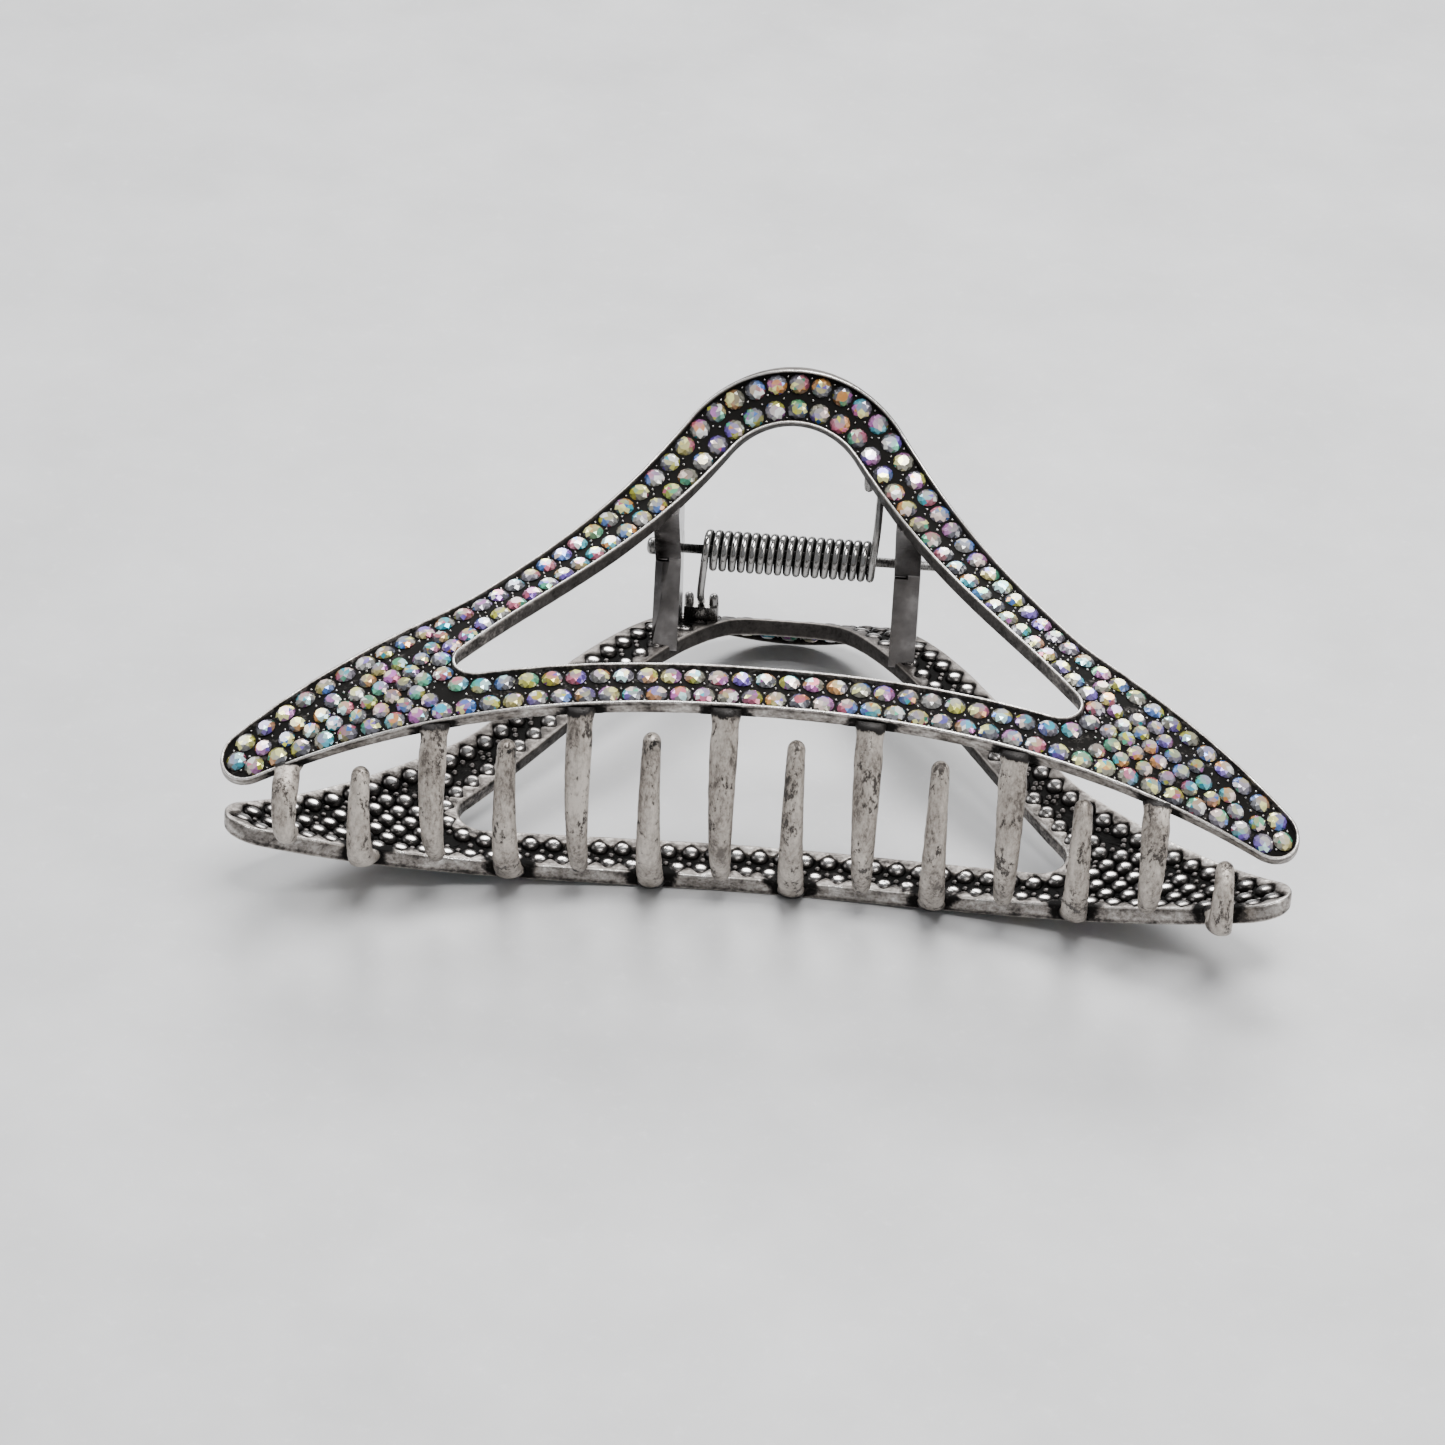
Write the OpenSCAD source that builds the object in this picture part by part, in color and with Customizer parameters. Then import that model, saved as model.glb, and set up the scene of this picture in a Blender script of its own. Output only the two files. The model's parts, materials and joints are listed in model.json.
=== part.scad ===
/* [Jaw outline] */
// Width over both wing tips
span = 105; // [88:1:126]
// Distance along the casting from the hinge level up to the top of the handle
handle_rise = 10; // [8:0.5:12]
// Distance along the casting from the hinge level down to the middle of the bar's lower edge
bar_drop = 37.8; // [31:0.2:46]
// Outside radius of the rounded handle
apex_r = 13.5; // [11.2:0.1:16.2]
// Distance from the middle to the elbow, where an arm runs out into its wing
elbow_x = 30.8; // [27:0.1:34]
// Height of the elbow above the middle of the bar's lower edge
elbow_rise = 15.4; // [13:0.1:18]
// Radius of the hollow curve at the elbow
elbow_r = 25; // [15:1:30]
// Radius of the rounded wing tip
tip_r = 3.1; // [2.6:0.1:3.7]
// Radius of the arched lower edge of the bar
arch_r = 168; // [140:1:202]
// Width of the two arms, the handle and the bar
band_w = 5.6; // [5.3:0.1:6.7]
// Radius of the two lower corners of the triangular opening
corner_r = 2.3; // [1.9:0.1:2.8]

/* [Jaw section] */
// Thickness of the casting at its rim
casting_t = 1.75; // [1.5:0.05:2.1]
// Width of the thin raised rim around the stones
rim_w = 0.42; // [0.35:0.01:0.5]
// Depth of the tray that holds the stones
tray_depth = 0.6; // [0.5:0.01:0.7]
// Width of the broad rim around the back
back_rim_w = 0.95; // [0.8:0.05:1.15]
// Depth of the hollow in the back
back_depth = 0.4; // [0.3:0.01:0.5]

/* [Jaw curl] */
// Distance from the hinge axis out to the face of the casting at hinge level
stand_off = 12.3; // [11:0.1:14]
// Outward lean of the handle's top edge, in degrees
handle_flare = 62; // [52:1:66]
// Inward lean of the casting at its waist, in degrees
waist_lean = 9.5; // [8:0.5:11.5]
// Distance along the casting from the hinge level down to the waist
waist_drop = 22; // [20:0.5:24]
// Outward lean of the casting at the middle of the bar's lower edge, in degrees
bar_lean = 7.93; // [6.5:0.01:9.5]
// How far each wing tip curls back towards the other jaw
wing_sweep = 7.2; // [6:0.1:8.6]
// How late the wings start to curl: 2 is a parabola
sweep_power = 2.6; // [2.2:0.1:3]

/* [Teeth] */
// Number of teeth on each jaw
tooth_count = 7; // [5:1:7]
// Distance between neighbouring teeth of one jaw
tooth_pitch = 14; // [11.7:0.1:14.2]
// Width of a tooth at its root, along the bar
tooth_root_w = 2.9; // [2.4:0.1:3.4]
// Distance that a tooth's root keeps inside each face of the casting
tooth_root_inset = 0.08; // [0.04:0.01:0.12]
// Diameter of a tooth at its tip
tooth_tip_d = 1.9; // [1.6:0.1:2.2]
// How far a tooth bows down from the straight line between its ends
tooth_bow = 3.2; // [2.7:0.1:3.8]
// Distance that a tooth's tip lies in from the inner side of the other jaw when the clip is closed
tooth_gap = 1.35; // [1.1:0.05:1.6]
// Distance that a tooth's tip lies below the inner rim of the other jaw
tooth_drop = 2.0; // [1.7:0.1:2.4]
// Length of each tooth's root that is let into the bar
tooth_root_in = 0.3; // [0.2:0.01:0.45]

/* [Stones] */
// Diameter of a stone
stone_d = 2.1; // [1.75:0.05:2.2]
// Distance between neighbouring stones of a row
stone_pitch = 2.29; // [2.25:0.01:2.75]
// Distance between a stone's edge and the rim beside it
stone_rim_gap = 0.06; // [0.04:0.01:0.1]
// Diameter of the stones that fill the wings
fill_stone_d = 1.8; // [1.5:0.05:2.1]
// Smallest gap between two stones in a wing
stone_gap = 0.02; // [0.02:0.01:0.1]
// Height of a stone's girdle above the floor of the tray
girdle_h = 0.1; // [0.05:0.01:0.15]
// Height of a stone's crown, from its girdle to its flat top
crown_h = 0.42; // [0.3:0.01:0.45]
// Diameter of a stone's flat top
table_d = 1.15; // [0.9:0.01:1.3]
// Depth that each stone is set into the floor of the tray
stone_set = 0.15; // [0.1:0.01:0.2]

/* [Hinge] */
// Diameter of the hinge pin
pin_d = 1.0; // [0.8:0.05:1.2]
// Radial clearance of the pin in the front jaw's knuckles
running_gap = 0.04; // [0.02:0.01:0.08]
// Radial clearance of the pin in the back jaw's knuckles, which hold it
seat_gap = 0.01; // [0.01:0.01:0.02]
// Distance from the middle to the centre of each hinge lug
lug_x = 12.4; // [12.2:0.05:13]
// Width of a hinge lug along the pin
lug_w = 2.7; // [2.4:0.1:3.2]
// Diameter of the round knuckle at the end of a lug
knuckle_d = 3.9; // [3.4:0.1:4.4]
// Gap between two knuckles, and around each knuckle's end
knuckle_gap = 0.12; // [0.1:0.01:0.2]
// Angle through which the jaws open, for which the lugs' handle sides are cut back
open_angle = 100; // [60:5:110]
// Diameter of the pin's head
head_d = 1.8; // [1.5:0.1:2.1]
// Length of the pin's head
head_len = 1.0; // [0.8:0.1:1.2]
// Length of the pin that stands out past the right-hand lug
tail_len = 2.0; // [1.7:0.1:2.4]

/* [Spring] */
// Diameter of the spring's wire
wire_d = 0.8; // [0.66:0.01:0.88]
// Outside diameter of the coil
coil_d = 4.4; // [3.9:0.1:4.8]
// Length of the coil along the pin
coil_len = 18.1; // [15.1:0.1:18.6]
// Distance between neighbouring turns
coil_pitch = 0.98; // [0.94:0.01:1.15]
// Gap between a spring catch and the lug beside it
catch_gap = 0.1; // [0.05:0.01:0.2]
// Distance along the casting from the hinge level up to the middle of a spring catch
catch_rise = 1.5; // [1:0.1:2]
// Distance between the centres of a catch's two prongs
prong_spread = 2.6; // [2.2:0.05:2.7]
// Diameter of a prong
prong_d = 1.0; // [0.85:0.05:1.05]
// Height of the prongs above the back of the arm
prong_h = 3.4; // [3.2:0.1:4]
// Thickness of a catch's foot, on which the spring's leg ends
catch_foot_t = 2.6; // [2.2:0.1:2.8]

/* [Hidden] */
jaw_parts = [
    "frame", "stones_edge_row", "stones_opening_row", "stones_left_wing", "stones_right_wing",
    "lug_left", "lug_right", "spring_catch"
];
$fn = 32;

// ---- Flat pattern: x across the jaw, s along the casting, s = 0 at the hinge level ----

half_span = span / 2;
apex_c = [0, handle_rise - apex_r];
arch_c = [0, -bar_drop - arch_r];
elbow = [elbow_x, elbow_rise - bar_drop];
tip_cx = half_span - tip_r;
tip_c = [tip_cx, arch_c[1] + sqrt(pow(arch_r + tip_r, 2) - tip_cx * tip_cx)];

// Slope below the horizontal of the straight edge that touches a round end and passes the elbow
function edge_slope(centre, r, side) =
    let (d = side * (elbow - centre))
    atan2(-d[1], d[0]) + side * asin(r / norm(d));
arm_slope = edge_slope(apex_c, apex_r, 1);
wing_slope = edge_slope(tip_c, tip_r, -1);
function along(slope) = [cos(slope), -sin(slope)];
function outward(slope) = [sin(slope), cos(slope)];
elbow_run = elbow_r * tan((arm_slope - wing_slope) / 2);
elbow_c = elbow - elbow_run * along(arm_slope) + elbow_r * outward(arm_slope);

// Centre of the rounded corner of the triangular opening
corner_foot = apex_c + (apex_r - band_w - corner_r) * outward(arm_slope);
corner_reach = arch_r + band_w + corner_r;
corner_run = let (d = corner_foot - arch_c, b = d * along(arm_slope))
    -b - sqrt(b * b - d * d + corner_reach * corner_reach);
corner_c = corner_foot + corner_run * along(arm_slope);
corner_turn = atan2(corner_c[0] - arch_c[0], corner_c[1] - arch_c[1]);
tip_turn = atan2(tip_c[0] - arch_c[0], tip_c[1] - arch_c[1]);

// Part of an arc about a centre, by the direction it faces: 0 is up, clockwise positive
function arc(centre, r, from, to, steps) =
    [for (i = [0:steps]) centre + r * outward(from + (to - from) * i / steps)];
function line(a, b, steps) = [for (i = [0:steps]) a + (b - a) * i / steps];
function tail(path) = [for (i = [1:len(path) - 1]) path[i]];
function mirrored(path) = [for (i = [len(path) - 2:-1:1]) [-path[i][0], path[i][1]]];

// Point on the arch of the bar that lies a distance up from its lower edge
function on_arch(turn, up) = arch_c + (arch_r + up) * outward(turn);

// Steps along each stretch of the two edges; the opening's corner stands opposite the whole wing
apex_steps = 6;
arm_steps = 6;
elbow_steps = 2;
wing_steps = 4;
tip_steps = 5;
arch_steps = 4;
bar_steps = 8;
corner_steps = (1 + elbow_steps + wing_steps + tip_steps + arch_steps) / 2;
// Part of the arm whose two edges face each other squarely
arm_share = 0.8;
arm_len = norm(elbow - apex_c - apex_r * outward(arm_slope)) - elbow_run;

// Outside edge of the right half, moved in by a distance, from the handle's top to the bar's middle
function outside_half(inset) =
    let (arm_start = apex_c + (apex_r - inset) * outward(arm_slope),
         arm_end = arm_start + arm_share * arm_len * along(arm_slope),
         elbow_a = elbow_c - (elbow_r + inset) * outward(arm_slope),
         tip_a = tip_c + (tip_r - inset) * outward(wing_slope))
    concat(
        arc(apex_c, apex_r - inset, 0, arm_slope, apex_steps),
        tail(line(arm_start, arm_end, arm_steps)),
        tail(line(arm_end, elbow_a, 1)),
        tail(arc(elbow_c, -(elbow_r + inset), arm_slope, wing_slope, elbow_steps)),
        tail(line(elbow_c - (elbow_r + inset) * outward(wing_slope), tip_a, wing_steps)),
        tail(arc(tip_c, tip_r - inset, wing_slope, 180 + tip_turn, tip_steps)),
        tail([for (i = [0:arch_steps])
            on_arch(tip_turn + (corner_turn - tip_turn) * i / arch_steps, inset)]),
        tail([for (i = [0:bar_steps]) on_arch(corner_turn * (1 - i / bar_steps), inset)]));

// Edge of the triangular opening, moved into the metal by a distance
function opening_half(inset) =
    let (r = apex_r - band_w + inset,
         arm_start = apex_c + r * outward(arm_slope),
         arm_end = arm_start + arm_share * arm_len * along(arm_slope),
         corner_a = corner_c + (corner_r + inset) * outward(arm_slope))
    concat(
        arc(apex_c, r, 0, arm_slope, apex_steps),
        tail(line(arm_start, arm_end, arm_steps)),
        tail(line(arm_end, corner_a, corner_steps)),
        tail(arc(corner_c, corner_r + inset, arm_slope, 180 + corner_turn, corner_steps)),
        tail([for (i = [0:bar_steps]) on_arch(corner_turn * (1 - i / bar_steps), band_w - inset)]));

function full_loop(half) = concat(half, mirrored(half));

// ---- Curl: where a point of the flat pattern lies in space ----

curl_step = 0.25;
curl_low = -70;
curl_high = 16;
// The lean grows from the waist up to the handle's top and from the waist down to the bar
function lean(s) = s > -waist_drop
    ? -waist_lean + (handle_flare + waist_lean) * pow((s + waist_drop) / (handle_rise + waist_drop), 2)
    : -waist_lean + (bar_lean + waist_lean) * pow((s + waist_drop) / (bar_drop - waist_drop), 2);
CURL_Y = [for (s = curl_low, y = 0; s <= curl_high;
    y = y + curl_step * cos(lean(s + curl_step / 2)), s = s + curl_step) [s, y]];
CURL_Z = [for (s = curl_low, z = 0; s <= curl_high;
    z = z + curl_step * sin(lean(s + curl_step / 2)), s = s + curl_step) [s, z]];
hinge_y = lookup(0, CURL_Y);
hinge_z = lookup(0, CURL_Z);
function sweep_back(x) = wing_sweep * pow(abs(x) / half_span, sweep_power);
function sweep_lean(x) = atan(sign(x) * sweep_power * wing_sweep / half_span
    * pow(abs(x) / half_span, sweep_power - 1));
// Point of the jaw at (x, s), a depth in from its outer face; the hinge axis is y = 0, z = 0
function curled(p, depth) = [
    p[0],
    lookup(p[1], CURL_Y) - hinge_y + depth * sin(lean(p[1])),
    lookup(p[1], CURL_Z) - hinge_z + stand_off - sweep_back(p[0]) - depth * cos(lean(p[1]))];

// ---- Frame ----

// Section of the casting between a point on the opening and one on the outside edge
floor_steps = 4;
function across(a, b, depth) =
    [for (i = [0:floor_steps]) curled(a + (b - a) * i / floor_steps, depth)];
function flip(path) = [for (i = [len(path) - 1:-1:0]) path[i]];

in_0 = full_loop(opening_half(0));
in_rim = full_loop(opening_half(rim_w));
in_back = full_loop(opening_half(back_rim_w));
out_0 = full_loop(outside_half(0));
out_rim = full_loop(outside_half(rim_w));
out_back = full_loop(outside_half(back_rim_w));

function section(i) = concat(
    [curled(in_0[i], 0), curled(in_rim[i], 0)],
    across(in_rim[i], out_rim[i], tray_depth),
    [curled(out_rim[i], 0), curled(out_0[i], 0)],
    [curled(out_0[i], casting_t), curled(out_back[i], casting_t)],
    flip(across(in_back[i], out_back[i], casting_t - back_depth)),
    [curled(in_back[i], casting_t), curled(in_0[i], casting_t)]);

module ring_body(rings) {
    n = len(rings);
    m = len(rings[0]);
    points = [for (ring = rings) each ring];
    faces = [for (i = [0:n - 1], j = [0:m - 1])
        let (a = i * m + j, b = i * m + (j + 1) % m,
             c = ((i + 1) % n) * m + (j + 1) % m, d = ((i + 1) % n) * m + j)
        each [[a, b, c], [a, c, d]]];
    polyhedron(points, faces, convexity = 10);
}

module frame() ring_body([for (i = [0:len(in_0) - 1]) section(i)]);

// ---- Teeth ----

tooth_rings = 8;
tooth_sides = 8;
tooth_root_t = casting_t - 2 * tooth_root_inset;
// Each jaw's row stands a quarter of the pitch off the middle, so that the two rows interleave
tooth_shift = tooth_pitch / 4;
function tooth_x(k) = (k - (tooth_count - 1) / 2) * tooth_pitch - tooth_shift;
function bar_edge(x, up) = [x, arch_c[1] + sqrt(pow(arch_r + up, 2) - x * x)];

// Middle line of a tooth with its width and thickness: an arc from the bar's lower wall across to a
// point below the inner rim of the other jaw, carried on by the part let into the bar
function tooth_line(k) =
    let (x = tooth_x(k),
         root = curled(bar_edge(x, 0), casting_t / 2),
         far = curled(bar_edge(x, back_rim_w / 2), casting_t),
         tip = [x, far[1] - tooth_drop, -far[2] + tooth_gap + tooth_tip_d / 2],
         span_v = root - tip,
         chord = norm(span_v),
         r = chord * chord / (8 * tooth_bow) + tooth_bow / 2,
         half_turn = asin(chord / (2 * r)),
         base = atan2(span_v[1], span_v[2]),
         middle = (root + tip) / 2,
         centre = middle + (r - tooth_bow) * [0, cos(base), -sin(base)],
         extra = tooth_root_in / r * 180 / PI)
    [for (i = [0:tooth_rings])
        let (share = i / tooth_rings,
             a = half_turn + extra - (2 * half_turn + extra) * share,
             wide = tooth_root_w + (tooth_tip_d - tooth_root_w) * share,
             thick = tooth_root_t + (tooth_tip_d - tooth_root_t) * share,
             edge_tilt = -x / sqrt(arch_r * arch_r - x * x) * (1 - share))
        [x, centre[1] + r * (-cos(a) * cos(base) + sin(a) * sin(base)),
         centre[2] + r * (cos(a) * sin(base) + sin(a) * cos(base)), a - base, wide, thick, edge_tilt]];

// Ring of points around a tooth's middle line, which at the root follows the slope of the bar's
// edge; a turn above 0 draws it in for the round tip
function tooth_ring(p, turn) =
    let (t = [0, -sin(p[3]), -cos(p[3])], u = [0, -cos(p[3]), sin(p[3])],
         half_w = p[4] / 2 * cos(turn), half_t = p[5] / 2 * cos(turn), shift = p[5] / 2 * sin(turn))
    [for (j = [0:tooth_sides - 1])
        let (a = 360 * (j + 0.5) / tooth_sides)
        [p[0] + half_w * sin(a), p[1] + half_w * sin(a) * p[6], p[2]] + shift * t
            + half_t * cos(a) * u];

module rod_body(rings) {
    n = len(rings);
    m = len(rings[0]);
    points = [for (ring = rings) each ring];
    sides = [for (i = [0:n - 2], j = [0:m - 1])
        let (a = i * m + j, b = i * m + (j + 1) % m, c = b + m, d = a + m)
        each [[a, b, c], [a, c, d]]];
    ends = [[for (j = [m - 1:-1:0]) j], [for (j = [0:m - 1]) (n - 1) * m + j]];
    polyhedron(points, concat(sides, ends), convexity = 6);
}

// Turns at which two smaller rings round off a tooth's tip
round_turns = [35, 65];
module tooth(k) {
    path = tooth_line(k);
    rod_body(concat(
        [for (p = path) tooth_ring(p, 0)],
        [for (turn = round_turns) tooth_ring(path[tooth_rings], turn)]));
}

// ---- Stand: the closed clip lies on the back jaw's bar and handle ----

rest_handle = curled([0, handle_rise], 0);
rest_bar = curled([0, -bar_drop], 0);
lie_angle = atan2(rest_handle[2] - rest_bar[2], rest_handle[1] - rest_bar[1]);
rest_z = -rest_handle[1] * sin(lie_angle) + rest_handle[2] * cos(lie_angle);
function lain_y(p, jaw) = p[1] * cos(lie_angle) - jaw * p[2] * sin(lie_angle);
// The back edge is the inner edge of the back handle, the front edge is the front of the teeth
back_edge_y = lain_y(curled([0, handle_rise], casting_t), -1);
front_edge_y = min([for (k = [0:tooth_count - 1], jaw = [1, -1], p = tooth_line(k))
    lain_y(p, jaw) - p[5] / 2 * cos(180 / tooth_sides)]);
mid_y = (back_edge_y + front_edge_y) / 2;

module lie() translate([0, -mid_y, rest_z]) rotate([lie_angle, 0, 0]) children();
module front() lie() children();
module back() lie() rotate([0, 180, 0]) children();

// ---- Stones ----

row_inset = rim_w + stone_rim_gap + stone_d / 2;

// Points at equal distances along a closed path
function run_lengths(path) = [for (i = 0, d = 0; i <= len(path);
    d = d + norm(path[(i + 1) % len(path)] - path[i % len(path)]), i = i + 1) d];
function spaced(path, pitch) =
    let (d = run_lengths(path), n = len(path), total = d[n], count = floor(total / pitch),
         px = [for (i = [0:n]) [d[i], path[i % n][0]]],
         ps = [for (i = [0:n]) [d[i], path[i % n][1]]])
    [for (i = [0:count - 1]) [lookup(total * i / count, px), lookup(total * i / count, ps)]];
edge_row = spaced(full_loop(outside_half(row_inset)), stone_pitch);
opening_row = spaced(full_loop(opening_half(row_inset)), stone_pitch);

// Stones fill what is left of the right wing: each place of a fine grid, taken from the bar's
// lower edge upwards, gets a stone when it is clear of every stone set before it
fill_grid = 0.15;
fill_inset = rim_w + stone_rim_gap + fill_stone_d / 2;
row_reach = (stone_d + fill_stone_d) / 2 + stone_gap;
fill_reach = fill_stone_d + stone_gap;
function wing_depth(p) = (elbow - p) * outward(wing_slope);
function corner_depth(p) = norm(p - corner_c) - corner_r;
row_stones = [for (p = concat(edge_row, opening_row)) if (p[0] > elbow_x - band_w - row_reach) p];
function clear_of(p, set, reach) = len([for (q = set) if (norm(p - q) < reach) 1]) == 0;
fill_places = [for (up = [fill_inset:fill_grid:elbow_rise], run = [elbow_x - band_w:fill_grid:tip_c[0]])
    let (p = on_arch(run / arch_r * 180 / PI, up))
    if (wing_depth(p) > fill_inset && (p[0] > corner_c[0] || up < band_w)
        && corner_depth(p) > fill_inset && clear_of(p, row_stones, row_reach)) p];
function settled(i, set) = i == len(fill_places) ? set
    : settled(i + 1, clear_of(fill_places[i], set, fill_reach) ? concat(set, [fill_places[i]]) : set);
wing_fill = settled(0, []);

module stone(p, d) {
    translate(curled(p, tray_depth))
        rotate([0, sweep_lean(p[0]), 0])
            rotate([lean(p[1]), 0, 0]) {
                translate([0, 0, -stone_set])
                    cylinder(h = stone_set + girdle_h, d = d);
                translate([0, 0, girdle_h])
                    cylinder(h = crown_h, d1 = d, d2 = table_d);
            }
}
module stones(sites, d) color("lavender") for (p = sites) stone(p, d);
module edge_stones() stones(edge_row, stone_d);
module opening_stones() stones(opening_row, stone_d);
module wing_stones(side) stones([for (p = wing_fill) [side * p[0], p[1]]], fill_stone_d);

// ---- Hinge ----

knuckle_r = knuckle_d / 2;
// The stretch of the arm's back, measured along the casting, that a lug grows from
lug_foot_low = -6.2;
lug_foot_high = 0.6;
// Depths that lugs and spring catches are let into the casting
lug_sink = 0.15;
catch_sink = 0.25;
// Turn that the cut-back sides of two lugs still have between them when the jaws are open
open_spare = 6;

// Outline of a lug in the plane across the pin: first value along the casting, second out
module lug_outline() {
    low = curled([lug_x, lug_foot_low], casting_t - back_depth - lug_sink);
    high = curled([lug_x, lug_foot_high], casting_t - back_depth - lug_sink);
    cut_turn = (open_angle + open_spare) / 2;
    circle(d = knuckle_d);
    polygon([
        [-knuckle_r, 0], [0, 0], [knuckle_r * cos(cut_turn), knuckle_r * sin(cut_turn)],
        [high[1], high[2]], [low[1], low[2]]]);
}

// side is -1 for the left lug, whose knuckle keeps the outer half, and 1 for the right lug,
// whose knuckle keeps the inner half, so that two equal castings share one pin
module lug(side, bore_gap) {
    lap = side * lug_x;
    difference() {
        translate([lap - lug_w / 2, 0, 0])
            rotate([90, 0, 90]) linear_extrude(height = lug_w) lug_outline();
        translate([lap - knuckle_gap / 2, 0, 0])
            rotate([0, 90, 0]) cylinder(r = knuckle_r + knuckle_gap, h = lug_w);
        translate([lap - lug_w, 0, 0])
            rotate([0, 90, 0]) cylinder(d = pin_d + 2 * bore_gap, h = 2 * lug_w);
    }
}

lug_outer = lug_x + lug_w / 2;
module pin() {
    color("dimgray") {
        translate([-lug_outer - knuckle_gap / 2, 0, 0])
            rotate([0, 90, 0]) cylinder(d = pin_d, h = 2 * lug_outer + knuckle_gap / 2 + tail_len);
        translate([-lug_outer - knuckle_gap / 2 - head_len, 0, 0])
            rotate([0, 90, 0]) cylinder(d = head_d, h = head_len);
    }
}

// ---- Spring ----

coil_r = (coil_d - wire_d) / 2;
coil_turns = round(coil_len / coil_pitch);
coil_run = coil_len - wire_d;
ring_per_turn = 12;
wire_sides = 6;
lug_inner = lug_x - lug_w / 2;
catch_w = prong_spread + prong_d;
catch_x = lug_inner - catch_gap - catch_w / 2;
catch_seat = curled([catch_x, catch_rise], casting_t - back_depth);
leg_end_gap = 0.2;
leg_end_z = catch_seat[2] - catch_foot_t - leg_end_gap;
leg_start_x = (coil_run + wire_d) / 2;

// Middle line of the wire: a leg down to the back catch, the coil, and a leg up to the front catch
coil_line = [for (i = [0:coil_turns * ring_per_turn])
    let (a = 180 - 360 * i / ring_per_turn,
         x = coil_run * (i / (coil_turns * ring_per_turn) - 0.5))
    [x, coil_r * cos(a), coil_r * sin(a)]];
spring_line = concat(
    [[-catch_x, catch_seat[1], -leg_end_z], [-leg_start_x, -coil_r, -coil_r]],
    coil_line,
    [[leg_start_x, -coil_r, coil_r], [catch_x, catch_seat[1], leg_end_z]]);

function wire_ring(path, i) =
    let (a = path[max(i - 1, 0)], b = path[min(i + 1, len(path) - 1)], t = (b - a) / norm(b - a),
         side = cross(t, [1, 0, 0]), u = side / norm(side), w = cross(u, t))
    [for (j = [0:wire_sides - 1])
        let (a = 360 * j / wire_sides)
        path[i] + wire_d / 2 * (cos(a) * u + sin(a) * w)];

module spring_body() rod_body([for (i = [0:len(spring_line) - 1]) wire_ring(spring_line, i)]);

// A spring catch: a foot on the arm's back with two prongs that hold the spring's leg between them
catch_depth = 1.5 * prong_d;
module spring_catch(side) {
    translate([side * catch_x, catch_seat[1], catch_seat[2]]) {
        translate([-catch_w / 2, -catch_depth / 2, -catch_foot_t])
            cube([catch_w, catch_depth, catch_foot_t + catch_sink]);
        for (x = [-1, 1])
            translate([x * prong_spread / 2, 0, -prong_h]) {
                cylinder(d = prong_d, h = prong_h);
                sphere(d = prong_d);
            }
    }
}

metal = "dimgray";
front() color(metal) frame();  // front_frame
back() color(metal) frame();  // back_frame
for (k = [0:tooth_count - 1]) {
    front() color("silver") tooth(k);
    back() color("silver") tooth(k);
}
front() edge_stones();  // front_stones_edge_row
front() opening_stones();  // front_stones_opening_row
front() wing_stones(-1);  // front_stones_left_wing
front() wing_stones(1);  // front_stones_right_wing
back() edge_stones();  // back_stones_edge_row
back() opening_stones();  // back_stones_opening_row
back() wing_stones(1);  // back_stones_left_wing
back() wing_stones(-1);  // back_stones_right_wing
front() color(metal) lug(-1, running_gap);  // front_lug_left
front() color(metal) lug(1, running_gap);  // front_lug_right
back() color(metal) lug(1, seat_gap);  // back_lug_left
back() color(metal) lug(-1, seat_gap);  // back_lug_right
front() color(metal) spring_catch(1);  // front_spring_catch
back() color(metal) spring_catch(1);  // back_spring_catch
lie() pin();  // hinge_pin
lie() color("gainsboro") spring_body();  // spring
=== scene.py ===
import bpy, json, math, random
import numpy as np
from mathutils import Matrix, Vector, noise


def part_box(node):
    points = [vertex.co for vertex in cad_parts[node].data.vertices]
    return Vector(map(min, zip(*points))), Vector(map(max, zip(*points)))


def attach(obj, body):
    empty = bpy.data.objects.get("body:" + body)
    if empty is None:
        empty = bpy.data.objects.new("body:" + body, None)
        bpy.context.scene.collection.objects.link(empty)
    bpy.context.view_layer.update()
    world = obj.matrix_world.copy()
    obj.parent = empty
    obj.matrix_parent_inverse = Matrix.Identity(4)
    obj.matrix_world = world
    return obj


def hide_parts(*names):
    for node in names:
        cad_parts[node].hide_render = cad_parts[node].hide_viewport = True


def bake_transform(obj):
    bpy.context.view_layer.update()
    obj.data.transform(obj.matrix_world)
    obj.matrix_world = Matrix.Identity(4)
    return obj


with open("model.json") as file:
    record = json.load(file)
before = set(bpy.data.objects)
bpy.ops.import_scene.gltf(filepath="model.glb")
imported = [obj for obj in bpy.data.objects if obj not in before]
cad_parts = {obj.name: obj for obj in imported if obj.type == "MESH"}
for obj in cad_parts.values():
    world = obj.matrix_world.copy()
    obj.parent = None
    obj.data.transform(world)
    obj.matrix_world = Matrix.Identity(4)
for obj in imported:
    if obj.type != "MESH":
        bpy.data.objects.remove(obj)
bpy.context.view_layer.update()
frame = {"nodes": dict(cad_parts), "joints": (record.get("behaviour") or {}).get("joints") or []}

# ---------------------------------------------------------------- sizes, in mm and degrees, as in the CAD

# Jaw outline
SPAN = 105.0
HANDLE_RISE = 10.0
BAR_DROP = 37.8
APEX_R = 13.5
ELBOW_X = 30.8
ELBOW_RISE = 15.4
ELBOW_R = 25.0
TIP_R = 3.1
ARCH_R = 168.0
BAND_W = 5.6
CORNER_R = 2.3
# Section of the casting
CAST_T = 1.75
RIM_W = 0.42
TRAY = 0.6
BACK_RIM = 0.95
BACK_DEPTH = 0.4
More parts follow.
